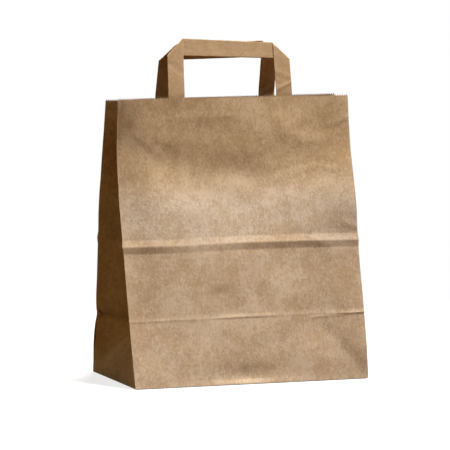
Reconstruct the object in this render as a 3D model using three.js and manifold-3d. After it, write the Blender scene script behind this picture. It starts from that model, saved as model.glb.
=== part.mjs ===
// A paper carrier bag: a gusseted tube with a folded block bottom and two flat paper handles.
// Millimetres, +Z up. The origin is the middle of the underside, and the front panel faces -Y.
import * as THREE from 'three';
import Module from 'manifold-3d';

const wasm = await Module();
wasm.setup();

// The sheet that the bag is folded from
const PANEL_WIDTH = 254;
const GUSSET_WIDTH = 140;
const PANEL_HEIGHT = 300;
const PAPER = 0.3; // one ply, drawn thicker than the real paper
const GLUE_GAP = 0.3; // room kept between two pieces that are glued together

// The saw-toothed edge that the paper is torn off at
const TOOTH_PITCH = 2.5;
const TOOTH_DEPTH = 1.2;

// Heights along the paper: the two creases left by folding the bottom flat, and the bag's shoulder
const LOWER_CREASE = GUSSET_WIDTH / 2;
const UPPER_CREASE = 146;
const SHOULDER = 222;
const HEIGHTS = [0, LOWER_CREASE, UPPER_CREASE, SHOULDER, PANEL_HEIGHT];

// Where each panel stands at those heights: the bag narrows from the bottom to the mouth
const FRONT_Y = [-GUSSET_WIDTH / 2, -52.5, -34.5, -16.5, -10.7];
const BACK_Y = [GUSSET_WIDTH / 2, 61.5, 55, 41, 27.5];

// The bottom flaps, which lap over each other past the middle
const FLAP_LAP = 12;
const FLAP_SEAM = 0.4;
const FLAP_BITE = 0.05; // how far a flap sinks into the floor that it is glued to

// The handles: a folded strip, with a leg at each end that goes down inside the mouth
const STRIP_WIDTH = 17.5;
const STRIP_THICKNESS = 0.6;
const STRIP_BITE = 0.1; // how far the crossbar sinks into the legs that it is folded from
const HANDLE_WIDTH = 133;
const HANDLE_HEIGHT = 60;
const LEG_DEPTH = 42;
const FRONT_HANDLE = { side: -1, shift: -2, lean: THREE.MathUtils.degToRad(14) };
const BACK_HANDLE = { side: 1, shift: -6, lean: THREE.MathUtils.degToRad(17) };

// The patch inside each panel that covers the glued legs
const PATCH_WIDTH = 190;
const PATCH_HEIGHT = 45;
const PATCH_BELOW_EDGE = 10;

const PAPER_BROWN = 0xb7987a;
const HANDLE_BROWN = 0xb08f6b;
const PATCH_BROWN = 0xa98a68;

// A sheet of paper without thickness: its points and its faces, wound so that they face outward
class Sheet {
  points = [];
  faces = [];

  point(x, y, z) {
    return this.points.push(new THREE.Vector3(x, y, z)) - 1;
  }

  face(...corners) {
    for (let i = 1; i + 1 < corners.length; i += 1) {
      this.faces.push([corners[0], corners[i], corners[i + 1]]);
    }
  }
}

// The step inward that is one thickness away from every face that meets at a point
function inwardStep(normals, thickness) {
  const settle = 0.01; // keeps the answer short where the faces lie almost flat
  const sums = [settle, 0, 0, 0, settle, 0, 0, 0, settle];
  const step = new THREE.Vector3();
  for (const normal of normals) {
    const n = normal.toArray();
    for (let i = 0; i < 9; i += 1) {
      sums[i] += n[i % 3] * n[Math.floor(i / 3)];
    }
    step.addScaledVector(normal, -thickness);
  }
  return step.applyMatrix3(new THREE.Matrix3().fromArray(sums).invert());
}

// Gives a sheet its thickness, on the inner side, and closes its free edges
function thicken(sheet, thickness) {
  const { points, faces } = sheet;
  const normalsAt = points.map(() => []);
  const edges = new Map();
  for (const face of faces) {
    const [a, b, c] = face.map((i) => points[i]);
    const normal = new THREE.Triangle(a, b, c).getNormal(new THREE.Vector3());
    face.forEach((from, k) => {
      const to = face[(k + 1) % 3];
      normalsAt[from].push(normal);
      edges.set(`${from},${to}`, [from, to]);
    });
  }
  const inner = points.map((p, i) => p.clone().add(inwardStep(normalsAt[i], thickness)));
  const shift = points.length;
  const index = [];
  for (const [a, b, c] of faces) {
    index.push(a, b, c);
    index.push(shift + a, shift + c, shift + b);
  }
  for (const [from, to] of edges.values()) {
    if (!edges.has(`${to},${from}`)) {
      index.push(from, shift + from, to);
      index.push(to, shift + from, shift + to);
    }
  }
  const geometry = new THREE.BufferGeometry().setFromPoints([...points, ...inner]);
  geometry.setIndex(index);
  return geometry;
}

// Joins closed solids into one
function join(geometries) {
  const solids = geometries.map((geometry) => {
    const vertProperties = new Float32Array(geometry.getAttribute('position').array);
    const triVerts = new Uint32Array(geometry.getIndex().array);
    return new wasm.Manifold(new wasm.Mesh({ numProp: 3, vertProperties, triVerts }));
  });
  const mesh = solids.reduce((whole, solid) => whole.add(solid)).getMesh();
  const joined = new THREE.BufferGeometry();
  joined.setAttribute('position', new THREE.BufferAttribute(mesh.vertProperties, 3));
  joined.setIndex(new THREE.BufferAttribute(mesh.triVerts, 1));
  return joined;
}

// How high a panel's levels stand: the paper's length between two levels never changes
function climb(panelY) {
  const heights = [PAPER];
  for (let i = 1; i < panelY.length; i += 1) {
    const rise = Math.sqrt((HEIGHTS[i] - HEIGHTS[i - 1]) ** 2 - (panelY[i] - panelY[i - 1]) ** 2);
    heights.push(heights[i - 1] + rise);
  }
  return heights;
}

const FRONT_Z = climb(FRONT_Y);
const BACK_Z = climb(BACK_Y);

// The gusset's centre fold from the lower crease to the mouth: how far in, and where it stands
function centreFold() {
  const half = GUSSET_WIDTH / 2;
  const fold = [];
  for (let i = 1; i < HEIGHTS.length; i += 1) {
    const depth = Math.sqrt(half ** 2 - ((BACK_Y[i] - FRONT_Y[i]) / 2) ** 2);
    const y = (BACK_Y[i] + FRONT_Y[i]) / 2;
    const last = fold.at(-1);
    if (last) {
      const run = HEIGHTS[i] - HEIGHTS[i - 1];
      const rise = Math.sqrt(run ** 2 - (depth - last.depth) ** 2 - (y - last.y) ** 2);
      fold.push({ depth, y, z: last.z + rise });
    } else {
      fold.push({ depth, y, z: PAPER + Math.sqrt(half ** 2 - depth ** 2) });
    }
  }
  return fold;
}

// The four corners and two centre folds of the bag at a level, going round from the front left
function ring(level, fold) {
  const x = PANEL_WIDTH / 2;
  const foldX = x - fold.depth;
  return [
    new THREE.Vector3(-x, FRONT_Y[level], FRONT_Z[level]),
    new THREE.Vector3(x, FRONT_Y[level], FRONT_Z[level]),
    new THREE.Vector3(foldX, fold.y, fold.z),
    new THREE.Vector3(x, BACK_Y[level], BACK_Z[level]),
    new THREE.Vector3(-x, BACK_Y[level], BACK_Z[level]),
    new THREE.Vector3(-foldX, fold.y, fold.z),
  ];
}

// The floor and the part below the lower crease, where each gusset has a triangle hinged on the floor
function addBlockBottom(sheet, lowerRing) {
  const x = PANEL_WIDTH / 2;
  const frontLeft = sheet.point(-x, FRONT_Y[0], PAPER);
  const frontRight = sheet.point(x, FRONT_Y[0], PAPER);
  const backRight = sheet.point(x, BACK_Y[0], PAPER);
  const backLeft = sheet.point(-x, BACK_Y[0], PAPER);
  const [upFrontLeft, upFrontRight, foldRight, upBackRight, upBackLeft, foldLeft] = lowerRing;
  sheet.face(frontLeft, backLeft, backRight, frontRight);
  sheet.face(frontLeft, frontRight, upFrontRight, upFrontLeft);
  sheet.face(backRight, backLeft, upBackLeft, upBackRight);
  sheet.face(frontRight, foldRight, upFrontRight);
  sheet.face(frontRight, backRight, foldRight);
  sheet.face(backRight, upBackRight, foldRight);
  sheet.face(backLeft, foldLeft, upBackLeft);
  sheet.face(backLeft, frontLeft, foldLeft);
  sheet.face(frontLeft, upFrontLeft, foldLeft);
}

// One side of the mouth: the paper from the shoulder up to the roots of the teeth, and the teeth
function addMouthSide(sheet, low, nextLow, root, nextRoot, tip, nextTip) {
  const count = Math.round(tip.distanceTo(nextTip) / TOOTH_PITCH);
  const start = sheet.points[root].clone();
  const end = sheet.points[nextRoot].clone();
  let last = root;
  for (let i = 1; i <= count; i += 1) {
    const here = start.clone().lerp(end, i / count);
    const next = i === count ? nextRoot : sheet.point(here.x, here.y, here.z);
    const point = tip.clone().lerp(nextTip, (i - 0.5) / count);
    const top = sheet.point(point.x, point.y, point.z);
    if (i === Math.ceil(count / 2)) {
      sheet.face(low, nextLow, last);
    }
    sheet.face(i < count / 2 ? low : nextLow, next, last);
    sheet.face(last, next, top);
    last = next;
  }
}

// The whole folded sheet, from the floor to the teeth
function bagSheet() {
  const sheet = new Sheet();
  const rings = centreFold().map((fold, i) => ring(i + 1, fold));
  const mouth = rings.pop();
  const shoulder = rings.at(-1);
  const rootShare = 1 - TOOTH_DEPTH / (PANEL_HEIGHT - SHOULDER);
  const roots = shoulder.map((p, i) => p.clone().lerp(mouth[i], rootShare));
  const indices = [...rings, roots].map((points) => points.map((p) => sheet.point(p.x, p.y, p.z)));
  addBlockBottom(sheet, indices[0]);
  const rootRing = indices.pop();
  for (let level = 0; level + 1 < indices.length; level += 1) {
    const low = indices[level];
    const high = indices[level + 1];
    low.forEach((corner, i) => {
      const j = (i + 1) % low.length;
      sheet.face(corner, low[j], high[j], high[i]);
    });
  }
  const shoulderRing = indices.at(-1);
  shoulderRing.forEach((corner, i) => {
    const j = (i + 1) % shoulderRing.length;
    addMouthSide(sheet, corner, shoulderRing[j], rootRing[i], rootRing[j], mouth[i], mouth[j]);
  });
  return sheet;
}

// A bottom flap: a trapezium hinged on one long edge of the floor, with its ends cut at 45 degrees
function bottomFlap(side, reach) {
  const sheet = new Sheet();
  const x = PANEL_WIDTH / 2;
  const hinge = (side * GUSSET_WIDTH) / 2;
  const free = hinge - side * reach;
  const corners = [
    sheet.point(-side * x, hinge, 0),
    sheet.point(side * x, hinge, 0),
    sheet.point(side * (x - reach), free, 0),
    sheet.point(-side * (x - reach), free, 0),
  ];
  sheet.face(...corners);
  return thicken(sheet, PAPER + FLAP_BITE);
}

function bagBody() {
  const half = GUSSET_WIDTH / 2;
  return join([
    thicken(bagSheet(), PAPER),
    bottomFlap(-1, half + FLAP_LAP),
    bottomFlap(1, half - FLAP_LAP - FLAP_SEAM),
  ]);
}

// A point of the paper that is glued to a panel near the mouth, or that stands up out of the mouth.
// The way is the length along the paper above the mouth, and the inset is the depth behind the
// panel's outer face.
function nearMouth(side, x, way, inset, lean) {
  const panelY = side < 0 ? FRONT_Y : BACK_Y;
  const panelZ = side < 0 ? FRONT_Z : BACK_Z;
  const mouth = new THREE.Vector3(x, panelY.at(-1), panelZ.at(-1));
  const up = mouth.clone().sub(new THREE.Vector3(x, panelY.at(-2), panelZ.at(-2))).normalize();
  const inward = new THREE.Vector3(0, -side * up.z, side * up.y);
  const along = way < 0 ? up : new THREE.Vector3(0, -side * Math.sin(lean), Math.cos(lean));
  return mouth.addScaledVector(inward, inset).addScaledVector(along, way);
}

// A flat outline of [x, way] corners, seen from outside the bag, as a ply of paper near the mouth
function ply(side, outlines, inset, lean, thickness) {
  const sheet = new Sheet();
  const known = new Map();
  for (const outline of outlines) {
    const corners = outline.map(([x, way]) => {
      const key = `${x},${way}`;
      if (!known.has(key)) {
        const p = nearMouth(side, x, way, inset, lean);
        known.set(key, sheet.point(p.x, p.y, p.z));
      }
      return known.get(key);
    });
    sheet.face(...(side < 0 ? corners : corners.reverse()));
  }
  return thicken(sheet, thickness);
}

// One handle. Each leg comes up outside the crossbar and turns into it over a 45 degree fold.
function handle({ side, shift, lean }) {
  const outer = HANDLE_WIDTH / 2;
  const inner = outer - STRIP_WIDTH;
  const foldFoot = HANDLE_HEIGHT - STRIP_WIDTH;
  const inset = PAPER + GLUE_GAP;
  const legs = [-1, 1].map((end) => {
    const near = shift + end * inner;
    const far = shift + end * outer;
    const glued = [[far, -LEG_DEPTH], [near, -LEG_DEPTH], [near, 0], [far, 0]];
    const free = [[far, 0], [near, 0], [near, HANDLE_HEIGHT], [far, foldFoot]];
    const outlines = end < 0 ? [glued, free] : [glued.reverse(), free.reverse()];
    return ply(side, outlines, inset, lean, STRIP_THICKNESS);
  });
  const crossbar = [
    [shift - outer, foldFoot],
    [shift + outer, foldFoot],
    [shift + inner, HANDLE_HEIGHT],
    [shift - inner, HANDLE_HEIGHT],
  ];
  const behind = inset + (STRIP_THICKNESS - STRIP_BITE) / Math.cos(lean);
  return join([...legs, ply(side, [crossbar], behind, lean, STRIP_THICKNESS)]);
}

// The patch over the legs of one handle
function patch({ side, shift, lean }) {
  const left = shift - PATCH_WIDTH / 2;
  const right = shift + PATCH_WIDTH / 2;
  const top = -PATCH_BELOW_EDGE;
  const bottom = top - PATCH_HEIGHT;
  const outline = [[left, bottom], [right, bottom], [right, top], [left, top]];
  const inset = PAPER + GLUE_GAP + STRIP_THICKNESS + GLUE_GAP;
  return ply(side, [outline], inset, lean, PAPER);
}

function piece(name, geometry, color) {
  geometry.computeVertexNormals();
  const material = new THREE.MeshStandardMaterial({ color, roughness: 0.9, metalness: 0 });
  const mesh = new THREE.Mesh(geometry, material);
  mesh.name = name;
  return mesh;
}

const bag = new THREE.Group();
bag.name = 'paper_carrier_bag';
bag.add(piece('bag_body', bagBody(), PAPER_BROWN));
bag.add(piece('front_handle', handle(FRONT_HANDLE), HANDLE_BROWN));
bag.add(piece('back_handle', handle(BACK_HANDLE), HANDLE_BROWN));
bag.add(piece('front_patch', patch(FRONT_HANDLE), PATCH_BROWN));
bag.add(piece('back_patch', patch(BACK_HANDLE), PATCH_BROWN));

export default bag;
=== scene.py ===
import math

import bpy
import numpy as np
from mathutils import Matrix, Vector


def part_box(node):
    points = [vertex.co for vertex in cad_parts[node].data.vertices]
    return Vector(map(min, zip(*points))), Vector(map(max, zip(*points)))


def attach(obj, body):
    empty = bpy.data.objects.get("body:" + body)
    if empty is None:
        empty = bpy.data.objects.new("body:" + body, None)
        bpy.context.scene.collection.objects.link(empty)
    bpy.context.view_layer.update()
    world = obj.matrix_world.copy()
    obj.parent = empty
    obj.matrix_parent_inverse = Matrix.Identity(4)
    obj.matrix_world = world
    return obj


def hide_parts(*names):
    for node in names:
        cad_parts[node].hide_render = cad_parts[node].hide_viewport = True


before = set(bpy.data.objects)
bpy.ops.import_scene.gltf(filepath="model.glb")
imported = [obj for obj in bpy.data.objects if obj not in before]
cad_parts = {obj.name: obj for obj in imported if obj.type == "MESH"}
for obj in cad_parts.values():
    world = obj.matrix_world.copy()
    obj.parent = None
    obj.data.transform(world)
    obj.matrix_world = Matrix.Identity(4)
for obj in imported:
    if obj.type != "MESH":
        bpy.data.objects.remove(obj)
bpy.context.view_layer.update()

MM = 0.001

# The sheet that the bag is folded from
body_low, body_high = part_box("bag_body")
PANEL_WIDTH = (body_high[0] - body_low[0]) / MM
GUSSET_WIDTH = (body_high[1] - body_low[1]) / MM
PANEL_HEIGHT = 300.0
PLY = 0.25
FLOOR_LIFT = 0.55
GIRTH = 2 * (PANEL_WIDTH + GUSSET_WIDTH)
HALF_GUSSET = GUSSET_WIDTH / 2

# The saw-toothed edge
TOOTH_PITCH = 2.5
TOOTH_DEPTH = 2.2

# Lengths along the girth, counted from the front left fold round by the right
FRONT_START = 0.0
RIGHT_START = PANEL_WIDTH
BACK_START = PANEL_WIDTH + GUSSET_WIDTH
LEFT_START = 2 * PANEL_WIDTH + GUSSET_WIDTH
FOLDS = (
    FRONT_START,
    RIGHT_START,
    RIGHT_START + HALF_GUSSET,
    BACK_START,
    LEFT_START,
    LEFT_START + HALF_GUSSET,
)

# Where the front folds stand: (height along the paper, y)
FRONT_LEFT_Y = ((0, -70), (70, -48.5), (147, -27.8), (177, -19.2), (224, -10.1), (251, -7.5), (300, -11))
FRONT_RIGHT_Y = (
    (0, -70), (32, -66), (70, -58), (146, -40.5), (183, -35), (218, -25.5), (243, -18.5), (300, -10),
)

# The front panel between its folds: its middle, its share of their twist and how far in they lead it
FRONT_MIDDLE_Y = (
    (0, -70), (70, -52.2), (110, -43.4), (146, -34.5), (175, -25.4), (204, -15.8), (214, -13.2), (250, -9.0),
    (283, -5.6), (300, -3.6),
)
FRONT_TWIST = 0.45
FRONT_EDGE_REACH = 52.0
SAG_DEPTH = 13.0
SAG_CENTRE = 0.53

# The back folds: where they stand, how far the left one bulges outwards and how far both drop
BACK_RIGHT_Y = ((0, 70), (70, 61), (146, 54), (222, 40), (300, 27))
BACK_LEFT_Y = ((0, 74), (30, 70), (70, 61), (146, 53.5), (171, 51), (222, 39), (256, 32), (300, 25))
BACK_LEFT_BULGE = ((0, 2), (56, 2), (63, 1.2), (70, 2.1), (110, 2.5), (150, 2.1), (250, 2.7), (300, 1.9))
BACK_LEFT_DROP = ((0, 0), (190, 0), (240, 2.5), (300, 6))
BACK_RIGHT_DROP = ((0, 0), (190, 0), (240, 1.2), (300, 3))

# The glued lap that closes the tube, on the back panel
BACK_SEAM = BACK_START + PANEL_WIDTH - 26
SEAM_STEP = 0.35

# Creases left by folding the bottom flat: where they run, half widths and how far they stand out
LOWER_CREASE = HALF_GUSSET - 1
LOWER_CREASE_ABOVE = 3.4
LOWER_CREASE_BELOW = 1.6
LOWER_CREASE_HEIGHT = 0.42
UPPER_CREASE = 146.5
UPPER_CREASE_HALF_WIDTH = 7.2
UPPER_CREASE_HEIGHT = 1.25
UPPER_CREASE_SLOPE = 0.004
CREASE_SHARE_ON_GUSSETS = 0.2

# How far in from a fold the dents of a panel and of a gusset begin
PANEL_DENT_REACH = 30
GUSSET_DENT_REACH = 15

# The lip pushed in along the bottom of the front panel, deepest at one place
LIP_DEPTH = 0.1
LIP_DENT_DEPTH = 1.3
LIP_DENT_CENTRE = 120
LIP_DENT_HALF_WIDTH = 34

# Cockling of the whole sheet: height, cell round the girth, cell up the paper, seed
COCKLES = (
    (0.5, 52, 60, 1),
    (0.26, 21, 26, 2),
    (0.1, 9, 11, 3),
)


def curve(points, at):
    """A smooth line through the points, read at the given places."""
    x, y = (np.array(v, float) for v in zip(*points))
    slope = np.gradient(y, x)
    i = np.clip(np.searchsorted(x, at) - 1, 0, len(x) - 2)
    width = x[i + 1] - x[i]
    t = np.clip((at - x[i]) / width, 0, 1)
    rise = y[i + 1] - y[i]
    start = slope[i] * width
    end = slope[i + 1] * width
    return y[i] + t * (start + t * (3 * rise - 2 * start - end + t * (start + end - 2 * rise)))


def smoothstep(low, high, value):
    """0 below low, 1 above high, and an even ease between them."""
    t = np.clip((value - low) / (high - low), 0, 1)
    return t * t * (3 - 2 * t)


def soft_min(a, b, softness):
    """The smaller of two lengths, rounded off where they meet."""
    return 0.5 * (a + b - np.sqrt((a - b) ** 2 + softness ** 2))


def cockle(s, h, cell_s, cell_h, seed):
    """Gentle unevenness between -1 and 1 that joins up round the girth."""
    columns = max(3, round(GIRTH / cell_s))
    rows = int(PANEL_HEIGHT / cell_h) + 4
    lattice = np.random.RandomState(seed).uniform(-1, 1, (columns, rows))
    x = (s / GIRTH * columns) % columns
    y = np.clip(h / cell_h + 1, 0, rows - 2)
    i = x.astype(int)
    j = y.astype(int)
    u = smoothstep(0, 1, x - i)
    v = smoothstep(0, 1, y - j)
    i_next = (i + 1) % columns
    near = lattice[i, j] * (1 - u) + lattice[i_next, j] * u
    far = lattice[i, j + 1] * (1 - u) + lattice[i_next, j + 1] * u
    return near * (1 - v) + far * v


def edge_height(edge_y):
    """How high each millimetre of a leaning edge stands: the paper keeps its length."""
    way = np.arange(0, PANEL_HEIGHT + 1)
    lean = np.gradient(curve(edge_y, way))
    rise = np.sqrt(1 - np.clip(lean, -0.9, 0.9) ** 2)
    return way, FLOOR_LIFT + np.concatenate(([0], np.cumsum((rise[1:] + rise[:-1]) / 2)))


def edge_point(edge_y, x, h):
    """Points on a corner fold, for heights along the paper."""
    way, height = edge_height(edge_y)
    return np.stack((x + 0 * h, curve(edge_y, h), np.interp(h, way, height)), -1)


def between(a, b, t):
    """Points on the straight line from a to b."""
    return a + (b - a) * t[..., None]


# Dents in the front panel: across from the left fold, height, half widths, turn in degrees, depth
FRONT_DENTS = (
    (46, 232, 17, 13, 30, 0.4),
    (128, 222, 30, 12, -8, 0.8),
    (92, 262, 20, 9, 15, 0.5),
    (176, 246, 22, 15, 35, 0.5),
    (226, 258, 15, 12, -30, 0.6),
    (200, 196, 34, 12, 12, -0.4),
    (70, 180, 30, 10, -10, -0.4),
    (118, 14, 30, 8, 0, 0.5),
    (30, 110, 26, 30, 10, -0.5),
    (150, 36, 24, 10, 25, 0.4),
    (90, 100, 26, 12, -30, 0.35),
    (190, 112, 20, 14, 40, 0.35),
)

# Straight creases in the front panel: from, to, width right of that way, width left of it, height
FRONT_CREASES = (
    ((206, 60), (249, 6), 24, 11, -1.1),
    ((232, 268), (254, 276), 3, 3, 0.6),
    ((238, 165), (254, 158), 4, 3, 0.6),
    ((0, 52), (24, 44), 5, 3, 0.35),
    ((0, 44), (16, 40), 3, 3, 0.25),
    ((60, 279), (135, 280), 4, 2, 0.3),
    ((196, 66), (254, 69), 3, 2, 0.3),
    ((168, 212), (214, 226), 7, 3, 0.4),
    ((212, 226), (240, 220), 6, 3, 0.35),
    ((18, 264), (48, 240), 5, 4, 0.45),
    ((70, 96), (104, 104), 6, 5, 0.3),
    ((150, 84), (186, 92), 5, 4, 0.25),
    ((30, 30), (60, 38), 5, 4, 0.3),
    ((96, 44), (120, 30), 5, 4, 0.3),
)

# Dents in the back panel, counted from its right fold
BACK_DENTS = (
    (62, 232, 40, 25, 10, 1.5),
    (190, 250, 35, 20, -15, 1.2),
    (130, 112, 55, 20, 5, 0.9),
    (200, 36, 30, 16, 30, 0.8),
    (50, 170, 30, 14, -20, -0.7),
)


def dent(across, h, centre, height, half_s, half_h, turn, depth):
    """A rounded hollow, or a swelling where its depth is negative."""
    a = math.radians(turn)
    x = (across - centre) * math.cos(a) + (h - height) * math.sin(a)
    y = (h - height) * math.cos(a) - (across - centre) * math.sin(a)
    return -depth * np.exp(-((x / half_s) ** 2) - (y / half_h) ** 2)


def crease(across, h, start, end, width_right, width_left, height):
    """A ridge along a line, falling away straight on both sides and fading at its ends."""
    run = np.subtract(end, start)
    length = np.hypot(*run)
    along = ((across - start[0]) * run[0] + (h - start[1]) * run[1]) / length
    off = ((h - start[1]) * run[0] - (across - start[0]) * run[1]) / length
    width = np.where(off < 0, width_right, width_left)
    fade = smoothstep(-0.15, 0.15, along / length) * smoothstep(-0.15, 0.15, 1 - along / length)
    return height * fade * np.clip(1 - np.abs(off) / width, 0, 1)


# Creases and dents in the left gusset, counted from the front fold
GUSSET_CREASES = (
    ((150, 60), (62, 77), 8, 3, -5.0),
    ((70, 70), (20, 66), 5, 4, -0.5),
    ((140, 146), (20, 141), 6, 6, 0.5),
)
GUSSET_DENTS = (
    (116, 34, 24, 20, 25, 4.0),
    (105, 108, 30, 24, 0, 1.0),
    (110, 200, 24, 30, 15, -1.0),
)


def on_panel(s, start, end):
    """1 between two places on the girth, easing to 0 just outside them."""
    return smoothstep(start - 6, start + 4, s) * (1 - smoothstep(end - 4, end + 6, s))


def girth_creases(s, h):
    """The two creases that run right round the bag."""
    sway = 0.7 * cockle(s, 0 * h, 60, 50, 11)
    off = h - UPPER_CREASE - sway + UPPER_CREASE_SLOPE * s
    upper = np.clip(1 - np.abs(off) / UPPER_CREASE_HALF_WIDTH, 0, 1)
    strength = 1.0 + 0.35 * cockle(s, 0 * h, 35, 50, 12)
    low_off = h - LOWER_CREASE - 0.5 * sway
    low_width = np.where(low_off > 0, LOWER_CREASE_ABOVE, LOWER_CREASE_BELOW)
    lower = np.clip(1 - np.abs(low_off) / low_width, 0, 1)
    low_strength = LOWER_CREASE_HEIGHT + 0.3 * cockle(s, 0 * h, 28, 50, 13)
    panels = on_panel(s, FRONT_START, RIGHT_START) + on_panel(s, BACK_START, LEFT_START)
    share = CREASE_SHARE_ON_GUSSETS + (1 - CREASE_SHARE_ON_GUSSETS) * panels
    return share * (UPPER_CREASE_HEIGHT * strength * upper + low_strength * lower)


def clear_of_folds(way, width, reach):
    """0 at the two folds beside a panel, easing to 1 where the given reach inwards ends."""
    return smoothstep(0, reach, np.clip(np.minimum(way, width - way), 0, None))


def front_relief(way, h):
    """Dents, creases and the lip of the front panel, counted from its left fold."""
    dents = sum(dent(way, h, *d) for d in FRONT_DENTS)
    dents = dents * clear_of_folds(way, PANEL_WIDTH, PANEL_DENT_REACH)
    creases = sum(crease(way, h, *c) for c in FRONT_CREASES)
    lip = smoothstep(0, 6, h) * (1 - smoothstep(6, 24, h))
    lip_dent = np.exp(-(((way - LIP_DENT_CENTRE) / LIP_DENT_HALF_WIDTH) ** 2))
    return dents + creases - lip * (LIP_DEPTH + LIP_DENT_DEPTH * lip_dent)


def right_relief(way, h):
    """Dents of the right gusset, half as deep as the left one's, counted from its front fold."""
    dents = 0.5 * sum(dent(way, h, *d) for d in GUSSET_DENTS)
    dents = dents * smoothstep(0, GUSSET_DENT_REACH, way)
    return dents * smoothstep(0, GUSSET_DENT_REACH, GUSSET_WIDTH - way)


def back_relief(way, h):
    """Dents of the back panel and the step of its lap, counted from its right fold."""
    dents = sum(dent(way, h, *d) for d in BACK_DENTS)
    dents = dents * clear_of_folds(way, PANEL_WIDTH, PANEL_DENT_REACH)
    return dents + SEAM_STEP * smoothstep(-1.5, 1.5, way + BACK_START - BACK_SEAM)


def left_relief(way, h):
    """Dents and creases of the left gusset, counted from its front fold."""
    dents = sum(dent(way, h, *d) for d in GUSSET_DENTS)
    creases = sum(crease(way, h, *c) for c in GUSSET_CREASES)
    return (dents + creases) * smoothstep(0, GUSSET_DENT_REACH, way)


def cockling(s, h):
    """Gentle waves and small pulled ridges, calmer beside the folds."""
    to_fold = np.min([np.abs(s - f) for f in FOLDS] + [np.abs(s - GIRTH)], axis=0)
    calm = 0.25 + 0.75 * smoothstep(0, 18, to_fold)
    waves = sum(height * cockle(s, h, cell_s, cell_h, seed) for height, cell_s, cell_h, seed in COCKLES)
    ridges = 0.35 * np.abs(cockle(s + 0.5 * h, h, 38, 30, 4))
    small_ridges = 0.2 * np.abs(cockle(s - 0.7 * h, h, 19, 24, 5))
    return calm * (waves - ridges - small_ridges)


def relief(s, h):
    """How far the paper stands out from its plain folded shape."""
    settle = smoothstep(0, 12, h)
    sides = (
        front_relief(s - FRONT_START, h),
        settle * right_relief(s - RIGHT_START, h),
        settle * back_relief(s - BACK_START, h),
        settle * left_relief(GIRTH - s, h),
    )
    which = np.searchsorted((RIGHT_START, BACK_START, LEFT_START), s, side="right")
    return np.choose(which, sides) + settle * (girth_creases(s, h) + cockling(s, h))


def gusset(front, back, s, h, inward):
    """The folded side between a front and a back corner fold, s counted from the front one."""
    t = s / GUSSET_WIDTH
    point = between(front, back, t)
    gap = np.linalg.norm(back - front, axis=-1)
    push = np.sqrt(np.clip(1 - (gap / GUSSET_WIDTH) ** 2, 0, 1))
    softness = 1.0 + 3 * (1 - smoothstep(40, 130, h))
    reach = soft_min(s, GUSSET_WIDTH - s, 0.6)
    reach = soft_min(reach, np.where(h < 110, h, 400), softness)
    reach = np.clip(reach, 0, None)
    low = np.minimum(h, HALF_GUSSET)
    drop = low * (1 - np.sqrt(1 - push ** 2)) * (1 - 0.35 * smoothstep(HALF_GUSSET, PANEL_HEIGHT, h))
    point[..., 0] += inward * push * reach
    point[..., 2] -= drop * reach / HALF_GUSSET
    return point


def middle_of_front(edge_y, twist, across, h):
    """The front panel's y: its middle is flatter than its edges, and sinks in below the mouth."""
    sag = SAG_DEPTH * np.clip((across - SAG_CENTRE) / 0.36, -1.1, 1.1) ** 2 * smoothstep(90, 215, h)
    sag = sag * (1 - smoothstep(255, 290, h))
    middle = curve(FRONT_MIDDLE_Y, h - sag) + FRONT_TWIST * twist * (across - 0.5)
    from_side = PANEL_WIDTH * np.minimum(across, 1 - across)
    share = smoothstep(0, FRONT_EDGE_REACH, from_side)
    return edge_y + (middle - edge_y) * share


def folded_sheet(s, h):
    """The bag's outer face before dents and creases, for lengths round the girth and up the paper."""
    half = PANEL_WIDTH / 2
    front_left = edge_point(FRONT_LEFT_Y, -half, h)
    front_right = edge_point(FRONT_RIGHT_Y, half, h)
    back_right = edge_point(BACK_RIGHT_Y, half, h)
    back_left = edge_point(BACK_LEFT_Y, -half, h)
    back_left[..., 0] -= curve(BACK_LEFT_BULGE, h)
    back_left[..., 2] -= curve(BACK_LEFT_DROP, h)
    back_right[..., 2] -= curve(BACK_RIGHT_DROP, h)
    across = np.clip((s - FRONT_START) / PANEL_WIDTH, 0, 1)
    front = between(front_left, front_right, across)
    front[..., 1] = middle_of_front(front[..., 1], front_right[..., 1] - front_left[..., 1], across, h)
    right = gusset(front_right, back_right, s - RIGHT_START, h, -1)
    back = between(back_right, back_left, (s - BACK_START) / PANEL_WIDTH)
    left = gusset(front_left, back_left, GIRTH - s, h, 1)
    which = np.searchsorted((RIGHT_START, BACK_START, LEFT_START), s, side="right")
    return np.choose(which[..., None], (front, right, back, left))


def girth_places():
    """Places round the girth: one for each tooth's root, and a few more beside each fold."""
    places = []
    roots = []
    spans = list(zip(FOLDS, FOLDS[1:] + (GIRTH,)))
    for start, end in spans:
        count = round((end - start) / TOOTH_PITCH)
        for i in range(count):
            roots.append(len(places))
            places.append(start + (end - start) * i / count)
            if i == 0:
                places.extend((start + 0.45, start + 1.2))
            if i == count - 1:
                places.extend((end - 1.2, end - 0.45))
    return np.array(places), roots


def height_places():
    """Places up the paper, closer together at the bottom, the creases and the mouth."""
    top = PANEL_HEIGHT - TOOTH_DEPTH
    stretches = (
        (0, 6, 0.75),
        (6, LOWER_CREASE - 6, 3.1),
        (LOWER_CREASE - 6, LOWER_CREASE + 6, 0.85),
        (LOWER_CREASE + 6, UPPER_CREASE - 10, 3.1),
        (UPPER_CREASE - 10, UPPER_CREASE + 10, 0.95),
        (UPPER_CREASE + 10, top - 8, 3.1),
        (top - 8, top, 2.0),
    )
    places = [np.linspace(a, b, max(2, round((b - a) / step)), endpoint=False) for a, b, step in stretches]
    return np.concatenate(places + [[top]])


def face_normals_of(grid):
    """Outward directions over a grid that closes on itself round the girth."""
    round_way = np.roll(grid, -1, axis=0) - np.roll(grid, 1, axis=0)
    up_way = np.gradient(grid, axis=1)
    normal = np.cross(round_way, up_way)
    return normal / np.linalg.norm(normal, axis=-1, keepdims=True)


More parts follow.
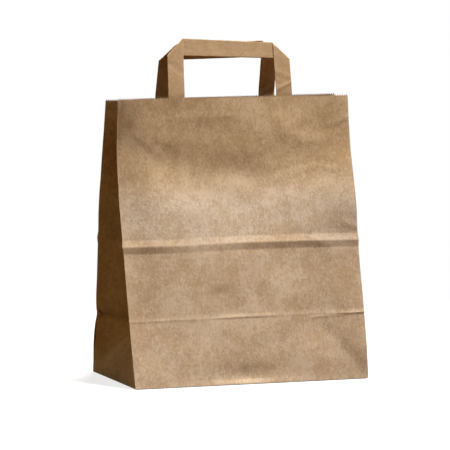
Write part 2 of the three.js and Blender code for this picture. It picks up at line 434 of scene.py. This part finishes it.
class Paper:
    """The bag's outer face as a grid of points, with what is needed to lay other pieces on it."""

    def __init__(self):
        self.s, self.roots = girth_places()
        self.h = height_places()
        s, h = np.meshgrid(self.s, self.h, indexing="ij")
        plain = folded_sheet(s, h)
        for fold in FOLDS:
            i = int(np.argmin(np.abs(self.s - fold)))
            mean = (plain[i - 1] + plain[(i + 1) % len(plain)]) / 2
            plain[i] = 0.5 * plain[i] + 0.5 * mean
        self.points = plain + face_normals_of(plain) * relief(s, h)[..., None]
        self.normals = face_normals_of(self.points)

    def sample(self, values, s, h):
        """Reads a grid of vectors anywhere on the front or back panel."""
        i = np.clip(np.searchsorted(self.s, s) - 1, 0, len(self.s) - 2)
        j = np.clip(np.searchsorted(self.h, h) - 1, 0, len(self.h) - 2)
        u = ((s - self.s[i]) / (self.s[i + 1] - self.s[i]))[..., None]
        v = ((h - self.h[j]) / (self.h[j + 1] - self.h[j]))[..., None]
        low = values[i, j] * (1 - u) + values[i + 1, j] * u
        high = values[i, j + 1] * (1 - u) + values[i + 1, j + 1] * u
        return low * (1 - v) + high * v


def make_object(name, points, faces, paper_places, wear_and_highlight, finish):
    """A mesh in metres, with its paper coordinates and its wear and painted highlight, smooth except at cut
    edges.
    """
    mesh = bpy.data.meshes.new(name)
    mesh.from_pydata((np.asarray(points) * MM).tolist(), [], faces)
    layer = mesh.uv_layers.new(name="paper")
    corner_points = np.zeros(len(mesh.loops), int)
    mesh.loops.foreach_get("vertex_index", corner_points)
    layer.data.foreach_set("uv", (np.asarray(paper_places)[corner_points] * MM).ravel())
    # How much paler each point is drawn: partly wear, partly a painted highlight
    wear_and_highlight_layer = mesh.attributes.new("wear_and_highlight", "FLOAT", "POINT")
    wear_and_highlight_layer.data.foreach_set("value", np.asarray(wear_and_highlight, float))
    mesh.shade_smooth()
    mesh.set_sharp_from_angle(angle=math.radians(50))
    mesh.materials.append(finish)
    obj = bpy.data.objects.new(name, mesh)
    bpy.context.scene.collection.objects.link(obj)
    return obj


def bag_faces(columns, rows, roots, inner, tips, inner_tips):
    """Outer and inner faces of the bag, its toothed rim and its floor."""

    def at(i, j):
        return (i % columns) * rows + j

    faces = []
    for i in range(columns):
        for j in range(rows - 1):
            quad = (at(i, j), at(i + 1, j), at(i + 1, j + 1), at(i, j + 1))
            faces.append(quad)
            faces.append(tuple(inner + k for k in reversed(quad)))
    faces.append(tuple(at(i, 0) for i in reversed(range(columns))))
    faces.append(tuple(inner + at(i, 0) for i in range(columns)))
    ends = roots[1:] + [columns]
    for k, (start, end) in enumerate(zip(roots, ends)):
        edge = [at(i, rows - 1) for i in range(start, end + 1)]
        tip = tips + k
        inner_tip = inner_tips + k
        faces.append(tuple(edge) + (tip,))
        faces.append(tuple(inner + v for v in reversed(edge)) + (inner_tip,))
        faces.append((edge[0], tip, inner_tip, inner + edge[0]))
        faces.append((tip, edge[-1], inner + edge[-1], inner_tip))
    return faces


def flap(side, reach, low, high):
    """One bottom flap as a flat ply: its points and faces."""
    half = PANEL_WIDTH / 2
    hinge = side * (HALF_GUSSET - 0.6)
    steps = np.linspace(0, 1, 9)
    outline = []
    for t in steps:
        outline.append((-half + 0.8 + reach * t, hinge - side * reach * t))
    for t in steps[::-1]:
        outline.append((half - 0.8 - reach * t, hinge - side * reach * t))
    if side > 0:
        outline.reverse()
    count = len(outline)
    points = [(x, y, low) for x, y in outline] + [(x, y, high) for x, y in outline]
    faces = [tuple(reversed(range(count))), tuple(range(count, 2 * count))]
    for i in range(count):
        j = (i + 1) % count
        faces.append((i, j, count + j, count + i))
    return points, faces


# Bottom flaps: side, how far each reaches in from its fold, its underside and its top
FLAPS = (
    (1, HALF_GUSSET + 14, 0.28, 0.53),
    (-1, HALF_GUSSET + 12, 0.0, 0.25),
)


def fold_wear_and_highlight(s, h):
    """Wear and painted highlight between 0 and 1: most on the folds, the two creases and the bottom edge."""
    to_fold = np.min([np.abs(s - f) for f in FOLDS], axis=0)
    wear_and_highlight = np.exp(-to_fold / 1.4) + 0.7 * np.exp(-np.abs(h - UPPER_CREASE) / 1.2)
    wear_and_highlight = wear_and_highlight + 0.7 * np.exp(-np.abs(h - LOWER_CREASE) / 1.2) + np.exp(-h / 1.5)
    return np.clip(wear_and_highlight, 0, 1)


def tooth_tips(paper):
    """The teeth's tips on the outer and the inner face, and their places on the paper."""
    columns = len(paper.s)
    lift = TOOTH_DEPTH / (paper.h[-1] - paper.h[-2])
    tips = []
    inner_tips = []
    places = []
    for start, end in zip(paper.roots, paper.roots[1:] + [columns]):
        a = paper.points[start, -1]
        b = paper.points[end % columns, -1]
        up = (paper.points[start, -1] - paper.points[start, -2]) * lift
        tip = (a + b) / 2 + up
        normal = paper.normals[start, -1] + paper.normals[end % columns, -1]
        s_end = paper.s[end] if end < columns else GIRTH
        tips.append(tip)
        inner_tips.append(tip - PLY * normal / np.linalg.norm(normal))
        places.append(((paper.s[start] + s_end) / 2, PANEL_HEIGHT))
    return tips, inner_tips, places


def make_bag(paper, finish):
    """The bag's one sheet: its outer and inner face, teeth, floor and bottom flaps."""
    columns, rows = paper.points.shape[:2]
    outer = paper.points.reshape(-1, 3)
    inner = outer - PLY * paper.normals.reshape(-1, 3)
    tips, inner_tips, tip_places = tooth_tips(paper)
    first_inner = len(outer)
    first_tip = 2 * first_inner
    first_inner_tip = first_tip + len(tips)
    faces = bag_faces(columns, rows, paper.roots, first_inner, first_tip, first_inner_tip)
    s, h = np.meshgrid(paper.s, paper.h, indexing="ij")
    sheet_places = np.stack((s, h), -1).reshape(-1, 2)
    sheet_wear_and_highlight = fold_wear_and_highlight(s, h).ravel()
    points = np.concatenate((outer, inner, tips, inner_tips))
    places = np.concatenate((sheet_places, sheet_places + (0, 400), tip_places, tip_places))
    wear_and_highlight = np.concatenate((sheet_wear_and_highlight, sheet_wear_and_highlight, 0.5 * np.ones(2 * len(tips))))
    for side, reach, low, high in FLAPS:
        flap_points, flap_faces = flap(side, reach, low, high)
        shift = len(points)
        points = np.concatenate((points, flap_points))
        flap_places = [(x + 1200 + 400 * side, y) for x, y, z in flap_points]
        places = np.concatenate((places, flap_places))
        wear_and_highlight = np.concatenate((wear_and_highlight, np.zeros(len(flap_points))))
        faces += [tuple(shift + k for k in f) for f in flap_faces]
    return make_object("bag_body_paper", points, faces, places, wear_and_highlight, finish)


# The handles: a folded strip that turns two corners
STRIP_WIDTH = 17.5
STRIP_THICKNESS = 0.7
LAYER_STEP = 0.85
STRIP_LAP = 0.07
HANDLE_HEIGHT = 60.0
HANDLE_SPLAY = 0.022
LEG_DEPTH = 42.0
LEG_GAP = 0.3

# How each handle stands: width and shift to the right, then lean and tilt in degrees
FRONT_HANDLE = {"width": 134.0, "shift": -1.2, "lean": 9.0, "tilt": 3.0}
BACK_HANDLE = {"width": 129.0, "shift": -7.5, "lean": 14.5, "tilt": -1.0}

# Rows of points on both sides of a fold in the strip, as distances from it
FOLD_ROWS = np.array((-3, -1.6, -1, -0.7, -0.5, -0.3, -0.15, 0, 0.15, 0.3, 0.5, 0.7, 1, 1.6, 3))


def fold_over(x, way, depth, at, outward, sign):
    """Folds a flat strip back on itself over a line, round a small half circle."""
    radius = LAYER_STEP / 2
    beyond = (x - at[0]) * outward[0] + (way - at[1]) * outward[1]
    turn = np.clip(beyond / radius, -math.pi / 2, math.pi / 2)
    left_over = np.abs(beyond) - radius * np.abs(turn)
    reach = radius * (np.cos(turn) - 1) - left_over
    depth = depth + sign * radius * (1 + np.sin(turn))
    return x + outward[0] * (reach - beyond), way + outward[1] * (reach - beyond), depth


def strip_grid(width):
    """The strip's middle surface: places across and along it, and where they lie when folded."""
    half = STRIP_WIDTH / 2
    outer = width / 2
    foot = HANDLE_HEIGHT - STRIP_WIDTH
    leg = LEG_DEPTH + foot + half
    span = width - STRIP_WIDTH
    total = 2 * leg + span
    across = half * np.sin(np.linspace(-math.pi / 2, math.pi / 2, 17))
    across = np.sort(np.concatenate((across, (-half + 0.12, half - 0.12))))
    along = np.concatenate((
        np.linspace(0, leg - 5, 64),
        leg + FOLD_ROWS,
        np.linspace(leg + 5, leg + span - 5, 80),
        leg + span + FOLD_ROWS,
        np.linspace(leg + span + 5, total, 64),
    ))
    turns = (0, LEG_DEPTH, leg - 3, leg + 3, leg + span - 3, leg + span + 3, total - LEG_DEPTH, total)
    shear = np.interp(along, turns, (0, 0, 1, 1, -1, -1, 0, 0))
    a, v = np.meshgrid(across, along, indexing="ij")
    v = v + shear[None, :] * a
    x = -span / 2 + a
    way = v - LEG_DEPTH
    depth = 0 * v
    slant = math.sqrt(0.5)
    x, way, depth = fold_over(x, way, depth, (-outer, foot), (-slant, slant), 1)
    x, way, depth = fold_over(x, way, depth, (outer, foot), (slant, slant), -1)
    return a, v, x, way, depth


def stand_handle(paper, side, width, shift, lean, tilt, x, way, depth):
    """Puts a flat handle in the mouth: glued inside the panel below it and leaning in above it."""
    tilt_run = math.radians(tilt)
    way = way - np.clip(way, 0, None) / HANDLE_HEIGHT * x * math.sin(tilt_run)
    above = np.clip(way, 0, None)
    x = x * (1 + HANDLE_SPLAY * (1 - above / HANDLE_HEIGHT))
    shifted_x = x + shift
    middle = (FRONT_START if side < 0 else BACK_START) + PANEL_WIDTH / 2
    inset = PLY + LEG_GAP + STRIP_THICKNESS / 2
    top = paper.h[-1]

    def glued(place_x, place_way):
        s = middle - side * place_x
        h = np.clip(top + place_way, 0, top)
        point = paper.sample(paper.points, s, h)
        normal = paper.sample(paper.normals, s, h)
        return point, normal

    ends = np.array((-1.0, 1.0)) * (width - STRIP_WIDTH) / 2 + shift
    mouth, facing = glued(ends, np.zeros(2))
    mouth = mouth - facing * inset
    t = ((shifted_x - ends[0]) / (ends[1] - ends[0]))[..., None]
    straight = mouth[0] * (1 - t) + mouth[1] * t
    angle = math.radians(lean) * smoothstep(-2, 10, np.arange(0, HANDLE_HEIGHT + 10))
    drift = np.concatenate(([0], np.cumsum(np.sin(angle))))[:-1]
    rise = np.concatenate(([0], np.cumsum(np.cos(angle))))[:-1]
    steps = np.arange(len(angle))
    straight[..., 1] += -side * (np.interp(above, steps, drift) + depth * math.cos(math.radians(lean)))
    straight[..., 2] += np.interp(above, steps, rise) + depth * math.sin(math.radians(lean))
    point, normal = glued(shifted_x, np.clip(way, None, 0))
    below = point - normal * (inset + depth)[..., None]
    blend = smoothstep(-9, 0, way)[..., None]
    return below * (1 - blend) + straight * blend


# Small creases across the strip: distance along it, slant, half width, height
STRIP_CREASES = (
    (34, 0.3, 5.0, 0.25),
    (72, -0.6, 4.0, -0.25),
    (102, 0.1, 2.6, 0.4),
    (131, -0.2, 7.0, -0.25),
    (176, 0.3, 6.0, 0.25),
    (203, -0.1, 2.6, -0.3),
    (236, -0.4, 6.0, 0.25),
    (249, 0.5, 3.2, 0.5),
)


def strip_relief(a, v):
    """How far the strip's small creases stand out."""
    total = 0 * a
    for place, slant, half_width, height in STRIP_CREASES:
        total = total + height * np.clip(1 - np.abs(v - place - slant * a) / half_width, 0, 1)
    return total


def make_strip(name, surface, a, v, side, finish):
    """Gives a strip its thickness, with rounded folded edges and the lap of its inner face."""
    across_way = np.gradient(surface, axis=0)
    along_way = np.gradient(surface, axis=1)
    normal = np.cross(across_way, along_way)
    normal = normal / np.linalg.norm(normal, axis=-1, keepdims=True)
    surface = surface + normal * strip_relief(a, v)[..., None]
    half = STRIP_WIDTH / 2
    edge = np.clip((half - np.abs(a)) / (STRIP_THICKNESS / 2), 0, 1)
    thick = STRIP_THICKNESS / 2 * np.sqrt(1 - (1 - edge) ** 2)
    lap = STRIP_LAP * smoothstep(-0.2, 0.2, -a - 3.5) * (edge > 0.9)
    upper = surface + normal * (thick + (lap if side > 0 else 0))[..., None]
    lower = surface - normal * (thick + (lap if side < 0 else 0))[..., None]
    columns, rows = a.shape
    points = np.concatenate((upper.reshape(-1, 3), lower[1:-1].reshape(-1, 3)))

    def top(i, j):
        return i * rows + j

    def under(i, j):
        if i in (0, columns - 1):
            return top(i, j)
        return columns * rows + (i - 1) * rows + j

    faces = []
    for i in range(columns - 1):
        for j in range(rows - 1):
            faces.append((top(i, j), top(i + 1, j), top(i + 1, j + 1), top(i, j + 1)))
            faces.append((under(i, j), under(i, j + 1), under(i + 1, j + 1), under(i + 1, j)))
    for j, turn in ((0, -1), (rows - 1, 1)):
        loop = [top(i, j) for i in range(columns)] + [under(i, j) for i in range(columns - 2, 0, -1)]
        faces.append(tuple(loop[::turn]))
    places = np.stack((a, v), -1).reshape(-1, 2)
    places = np.concatenate((places, np.stack((a, v), -1)[1:-1].reshape(-1, 2) + (60, 0)))
    wear_and_highlight = np.exp(-(half - np.abs(a)) / 0.6)
    wear_and_highlight = np.concatenate((wear_and_highlight.ravel(), wear_and_highlight[1:-1].ravel()))
    return make_object(name, points, faces, places + (2000, 600 * (side + 1)), wear_and_highlight, finish)


def make_handle(name, paper, side, finish, width, shift, lean, tilt):
    """A folded strip standing in the mouth, in front for side -1 and at the back for side 1."""
    a, v, x, way, depth = strip_grid(width)
    surface = stand_handle(paper, side, width, shift, lean, tilt, x, way, depth)
    return make_strip(name, surface, a, v, side, finish)


# The sheets glued inside over the legs of the handles
PATCH_WIDTH = 190.0
PATCH_HEIGHT = 45.0
PATCH_BELOW_EDGE = 10.0
PATCH_PLY = 0.2
PATCH_GAP = 0.25
PATCH_OVER_LEG = 0.4
FRONT_PATCH_SHIFT = -1.0
BACK_PATCH_SHIFT = -7.5


def make_patch(name, paper, side, width, shift, finish):
    """The sheet glued over the legs of a handle, which shows them as low ridges."""
    x = np.linspace(-PATCH_WIDTH / 2, PATCH_WIDTH / 2, 96)
    way = np.linspace(-PATCH_BELOW_EDGE - PATCH_HEIGHT, -PATCH_BELOW_EDGE, 24)
    x, way = np.meshgrid(x, way, indexing="ij")
    middle = (FRONT_START if side < 0 else BACK_START) + PANEL_WIDTH / 2
    s = middle - side * (x + shift)
    h = paper.h[-1] + way
    leg_centre = (width - STRIP_WIDTH) / 2 * (1 + HANDLE_SPLAY)
    off_leg = np.abs(np.abs(x) - leg_centre) - STRIP_WIDTH / 2
    over_leg = (1 - smoothstep(0, 5, off_leg)) * smoothstep(-LEG_DEPTH - 4, -LEG_DEPTH + 1, way)
    inset = PLY + PATCH_GAP + over_leg * (STRIP_THICKNESS + PATCH_OVER_LEG)
    point = paper.sample(paper.points, s, h)
    normal = paper.sample(paper.normals, s, h)
    outer = point - normal * inset[..., None]
    inner = point - normal * (inset + PATCH_PLY)[..., None]
    columns, rows = x.shape
    count = columns * rows
    faces = []
    for i in range(columns - 1):
        for j in range(rows - 1):
            quad = (i * rows + j, (i + 1) * rows + j, (i + 1) * rows + j + 1, i * rows + j + 1)
            if side > 0:
                quad = quad[::-1]
            faces.append(quad)
            faces.append(tuple(count + k for k in reversed(quad)))
    rim = [i * rows for i in range(columns)]
    rim += [(columns - 1) * rows + j for j in range(1, rows)]
    rim += [i * rows + rows - 1 for i in range(columns - 2, -1, -1)]
    rim += list(range(rows - 2, 0, -1))
    if side > 0:
        rim.reverse()
    for k, here in enumerate(rim):
        there = rim[(k + 1) % len(rim)]
        faces.append((there, here, count + here, count + there))
    places = np.stack((x, way), -1).reshape(-1, 2)
    places = np.concatenate((places, places + (300, 0))) + (3000, 600 * (side + 1))
    points = np.concatenate((outer.reshape(-1, 3), inner.reshape(-1, 3)))
    return make_object(name, points, faces, places, np.zeros(2 * count), finish)


class Value:
    """A value in a material. Arithmetic on it adds Math nodes, and node() adds any other kind."""

    def __init__(self, tree, socket=None):
        self.tree = tree
        self.socket = socket

    def node(self, kind, settings=None, sockets=None, out=0):
        made = self.tree.nodes.new(kind)
        for key, value in (settings or {}).items():
            setattr(made, key, value)
        for key, value in (sockets or {}).items():
            if isinstance(value, Value):
                self.tree.links.new(value.socket, made.inputs[key])
            else:
                made.inputs[key].default_value = value
        return Value(self.tree, made.outputs[out]) if made.outputs else None

    def maths(self, operation, first, second):
        return self.node("ShaderNodeMath", {"operation": operation}, {0: first, 1: second})

    def __add__(self, other):
        return self.maths("ADD", self, other)

    def __radd__(self, other):
        return self.maths("ADD", other, self)

    def __sub__(self, other):
        return self.maths("SUBTRACT", self, other)

    def __rsub__(self, other):
        return self.maths("SUBTRACT", other, self)

    def __mul__(self, other):
        return self.maths("MULTIPLY", self, other)

    def __rmul__(self, other):
        return self.maths("MULTIPLY", other, self)

    def mix(self, fresh, share):
        """This colour with another laid over it by a share between 0 and 1."""
        return self.node(
            "ShaderNodeMix", {"data_type": "RGBA"}, {0: share, 6: self, 7: fresh}, out=2
        )

    def tint(self, ratio, share):
        """This colour multiplied by a ratio, where the share is 1."""
        settings = {"data_type": "RGBA", "blend_type": "MULTIPLY"}
        return self.node("ShaderNodeMix", settings, {0: share, 6: self, 7: ratio}, out=2)


def new_material(name):
    """An empty material, and a value to begin its nodes with."""
    material = bpy.data.materials.new(name)
    material.use_nodes = True
    tree = material.node_tree
    tree.nodes.clear()
    return material, Value(tree)


# Painted shade: the bag's paper is drawn darker and warmer near the mouth; painted light: it is drawn paler
# in a band above the upper crease
PAINTED_SHADE_TINT = (0.985, 0.925, 0.81, 1)
PAINTED_LIGHT_TINT = (1.0, 1.055, 1.14, 1)


def paper_finish(name, light, dark, warm, seed, painted_light_and_shade=False):
    """Unbleached paper: cloudy, with fibres along the sheet, flecks, and folds drawn paler, partly from wear
    and partly as a painted highlight; where asked, painted shade near the mouth and painted light in a band
    above the upper crease.
    """
    material, begin = new_material(name)
    place = begin.node("ShaderNodeUVMap", {"uv_map": "paper"})
    wear_and_highlight = begin.node("ShaderNodeAttribute", {"attribute_name": "wear_and_highlight"}, out="Fac")

    def grain(cells_across, cells_along, detail=2.0, roughness=0.5, offset=0.0, turn=0.0):
        turned = begin.node("ShaderNodeMapping", {}, {"Vector": place, "Rotation": (0, 0, turn)})
        stretched = begin.node(
            "ShaderNodeMapping",
            {},
            {
                "Vector": turned,
                "Location": (seed + offset, offset, 0),
                "Scale": (cells_across, cells_along, 1),
            },
        )
        return begin.node(
            "ShaderNodeTexNoise",
            {"noise_dimensions": "2D"},
            {"Vector": stretched, "Scale": 1.0, "Detail": detail, "Roughness": roughness},
        )

    clouds = grain(28, 22, 3.0, 0.6, 0.1)
    blotches = grain(95, 70, 2.0, 0.55, 3.7)
    fibres = grain(640, 160, 2.0, 0.6, 7.3, 0.25)
    cross_fibres = grain(210, 620, 1.0, 0.5, 11.9, 0.7)
    tooth = grain(1500, 1100, 2.0, 0.6, 15.1)
    fleck_field = grain(700, 260, 1.0, 0.5, 19.3)
    hue = grain(60, 50, 2.0, 0.5, 23.9)
    grit = grain(380, 320, 2.0, 0.65, 27.7, 0.4)

    def ramp(value, low, high):
        return begin.node(
            "ShaderNodeMapRange", {"interpolation_type": "SMOOTHSTEP"},
            {"Value": value, "From Min": low, "From Max": high},
        )

    tone = 0.28 * clouds + 0.17 * blotches + 0.22 * fibres + 0.19 * cross_fibres + 0.14 * grit
    spread = ramp(tone, 0.41, 0.59)
    colour = begin.node(
        "ShaderNodeMix", {"data_type": "RGBA"}, {0: spread, 6: dark, 7: light}, out=2
    )
    colour = colour.mix(warm, 0.35 * ramp(hue, 0.4, 0.75))
    # Painted shade near the mouth and painted light in the band above the upper crease, laid on by height up
    # the paper
    if painted_light_and_shade:
        way_up = begin.node("ShaderNodeSeparateXYZ", {}, {0: place}, out="Y") + 0.03 * clouds
        colour = colour.tint(PAINTED_SHADE_TINT, ramp(way_up, 0.21, 0.25))
        painted_light_band = ramp(way_up, 0.155, 0.175) * (1 - ramp(way_up, 0.2, 0.225))
        colour = colour.tint(PAINTED_LIGHT_TINT, painted_light_band)
    flecks = ramp(fleck_field, 0.72, 0.86)
    dark_fleck = tuple(0.62 * c for c in dark[:3]) + (1,)
    colour = colour.mix(dark_fleck, 0.4 * flecks)
    pale_fibre = ramp(grain(700, 70, 1.0, 0.5, 31.7), 0.72, 0.8)
    pale = tuple(min(1.0, 1.22 * c) for c in light[:3]) + (1,)
    colour = colour.mix(pale, 0.4 * pale_fibre)
    # Folds, creases and the bottom edge drawn paler: partly wear, partly a painted highlight
    colour = colour.mix(pale, 0.35 * wear_and_highlight * (0.4 + blotches))
    wrinkles = grain(140, 150, 3.0, 0.6, 41.3)
    height = 0.5 * wrinkles + 0.28 * fibres + 0.12 * cross_fibres + 0.1 * tooth
    bump = begin.node(
        "ShaderNodeBump", {}, {"Strength": 0.5, "Distance": 0.0006, "Height": height}
    )
    rough = 0.78 + 0.16 * blotches
    shader = begin.node(
        "ShaderNodeBsdfPrincipled",
        {},
        {"Base Color": colour, "Roughness": rough, "Normal": bump, "Specular IOR Level": 0.25},
    )
    begin.node("ShaderNodeOutputMaterial", {}, {"Surface": shader})
    return material


# The papers: their light, dark and warm colours as linear light, and where their grain begins
bag_finish = paper_finish(
    "brown_paper",
    (0.58, 0.44, 0.308, 1), (0.432, 0.292, 0.168, 1), (0.53, 0.378, 0.235, 1), 0.0, painted_light_and_shade=True
)
handle_finish = paper_finish(
    "handle_paper", (0.53, 0.35, 0.2, 1), (0.43, 0.275, 0.147, 1), (0.5, 0.325, 0.18, 1), 4.0
)
patch_finish = paper_finish(
    "patch_paper", (0.5, 0.34, 0.2, 1), (0.43, 0.29, 0.17, 1), (0.48, 0.32, 0.19, 1), 8.0
)

# The pieces
paper = Paper()
bag = make_bag(paper, bag_finish)
front_handle = make_handle("front_handle_strip", paper, -1, handle_finish, **FRONT_HANDLE)
back_handle = make_handle("back_handle_strip", paper, 1, handle_finish, **BACK_HANDLE)
front_patch = make_patch(
    "front_patch_sheet", paper, -1, FRONT_HANDLE["width"], FRONT_PATCH_SHIFT, patch_finish
)
back_patch = make_patch(
    "back_patch_sheet", paper, 1, BACK_HANDLE["width"], BACK_PATCH_SHIFT, patch_finish
)

for piece, node, slot in (
    (bag, "bag_body", "brown_paper"),
    (front_handle, "front_handle", "handle_paper"),
    (back_handle, "back_handle", "handle_paper"),
    (front_patch, "front_patch", "patch_paper"),
    (back_patch, "back_patch", "patch_paper"),
):
    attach(piece, "root")
    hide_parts(node)

# The camera, at the photograph's viewing angle
CAMERA_AZIMUTH = -19.43
CAMERA_ELEVATION = 4.57
CAMERA_DISTANCE = 2.75
CAMERA_TARGET = (-0.0066, 0.0, 0.1583)
CAMERA_LENS = 210.8


def from_angles(azimuth, elevation, distance):
    """A place seen from the target: azimuth 0 is in front, 90 to the right."""
    a = math.radians(azimuth)
    e = math.radians(elevation)
    flat = distance * math.cos(e)
    return (flat * math.sin(a), -flat * math.cos(a), distance * math.sin(e))


def aim(obj, target):
    """Turns a camera or a lamp to look at a place."""
    direction = obj.location - type(obj.location)(target)
    obj.rotation_euler = direction.to_track_quat("Z", "Y").to_euler()


def place_camera():
    """The camera that the picture is taken with."""
    lens = bpy.data.cameras.new("camera")
    lens.lens = CAMERA_LENS
    lens.sensor_width = 36
    camera = bpy.data.objects.new("camera", lens)
    offset = from_angles(CAMERA_AZIMUTH, CAMERA_ELEVATION, CAMERA_DISTANCE)
    camera.location = [t + o for t, o in zip(CAMERA_TARGET, offset)]
    aim(camera, CAMERA_TARGET)
    bpy.context.scene.collection.objects.link(camera)
    bpy.context.scene.camera = camera


def soft_light(name, azimuth, elevation, distance, size, level, colour=(1, 1, 1)):
    """A square lamp that lights a matt surface facing it to the given share of its own colour."""
    lamp = bpy.data.lights.new(name, "AREA")
    lamp.shape = "SQUARE"
    lamp.size = size
    lamp.color = colour
    lamp.energy = level * (math.pi * distance) ** 2
    obj = bpy.data.objects.new(name, lamp)
    offset = from_angles(azimuth, elevation, distance)
    obj.location = [t + o for t, o in zip(CAMERA_TARGET, offset)]
    aim(obj, CAMERA_TARGET)
    bpy.context.scene.collection.objects.link(obj)


def seen_directly(begin):
    """1 for what the camera sees, straight or in a gloss or through glass, and 0 for other light."""
    camera = begin.node("ShaderNodeLightPath", out="Is Camera Ray")
    gloss = begin.node("ShaderNodeLightPath", out="Is Glossy Ray")
    through = begin.node("ShaderNodeLightPath", out="Is Transmission Ray")
    most = begin.maths("MAXIMUM", camera, gloss)
    return begin.maths("MAXIMUM", most, through)


def make_floor():
    """A white floor that keeps a faint shadow and throws little light back up."""
    mesh = bpy.data.meshes.new("floor")
    reach = 12.0
    level = -0.0004
    turns = ((-1, -1), (1, -1), (1, 1), (-1, 1))
    corners = [(x * reach, y * reach, level) for x, y in turns]
    mesh.from_pydata(corners, [], [(0, 1, 2, 3)])
    floor = bpy.data.objects.new("floor", mesh)
    bpy.context.scene.collection.objects.link(floor)
    material, begin = new_material("floor_white")
    dull = begin.node("ShaderNodeBsdfDiffuse", {}, {"Color": (0.11, 0.06, 0.017, 1)})
    glow = begin.node("ShaderNodeEmission", {}, {"Color": (1, 1, 1, 1), "Strength": 0.78})
    pale = begin.node("ShaderNodeBsdfDiffuse", {}, {"Color": (0.3, 0.3, 0.3, 1)})
    near_bag = begin.node("ShaderNodeAddShader", {}, {0: glow, 1: pale})
    far_off = begin.node("ShaderNodeEmission", {}, {"Color": (1, 1, 1, 1), "Strength": 1.0})
    place = begin.node("ShaderNodeNewGeometry", out="Position")
    distance = begin.node("ShaderNodeVectorMath", {"operation": "LENGTH"}, {0: place}, out="Value")
    fade = begin.node("ShaderNodeMapRange", {}, {"Value": distance, "From Min": 0.25, "From Max": 0.8})
    white = begin.node("ShaderNodeMixShader", {}, {0: fade, 1: near_bag, 2: far_off})
    shown = begin.node("ShaderNodeMixShader", {}, {0: seen_directly(begin), 1: dull, 2: white})
    begin.node("ShaderNodeOutputMaterial", {}, {"Surface": shown})
    mesh.materials.append(material)


def light_world():
    """White behind the bag, and only a little warm light from all around."""
    world = bpy.data.worlds.new("surroundings")
    bpy.context.scene.world = world
    world.use_nodes = True
    world.node_tree.nodes.clear()
    begin = Value(world.node_tree)
    room = begin.node("ShaderNodeBackground", {}, {"Color": (1.0, 0.58, 0.1, 1), "Strength": 0.012})
    white = begin.node("ShaderNodeBackground", {}, {"Color": (1, 1, 1, 1), "Strength": 1.0})
    shown = begin.node("ShaderNodeMixShader", {}, {0: seen_directly(begin), 1: room, 2: white})
    begin.node("ShaderNodeOutputWorld", {}, {"Surface": shown})


place_camera()
make_floor()
light_world()
soft_light("key_light", 54, 73, 4.0, 0.6, 2.2)
soft_light("side_light", -88, 42, 4.0, 1.0, 0.095, (1.0, 0.62, 0.1))
soft_light("back_light", 150, 40, 4.0, 1.2, 0.8)
bpy.context.scene.view_settings.view_transform = "Standard"
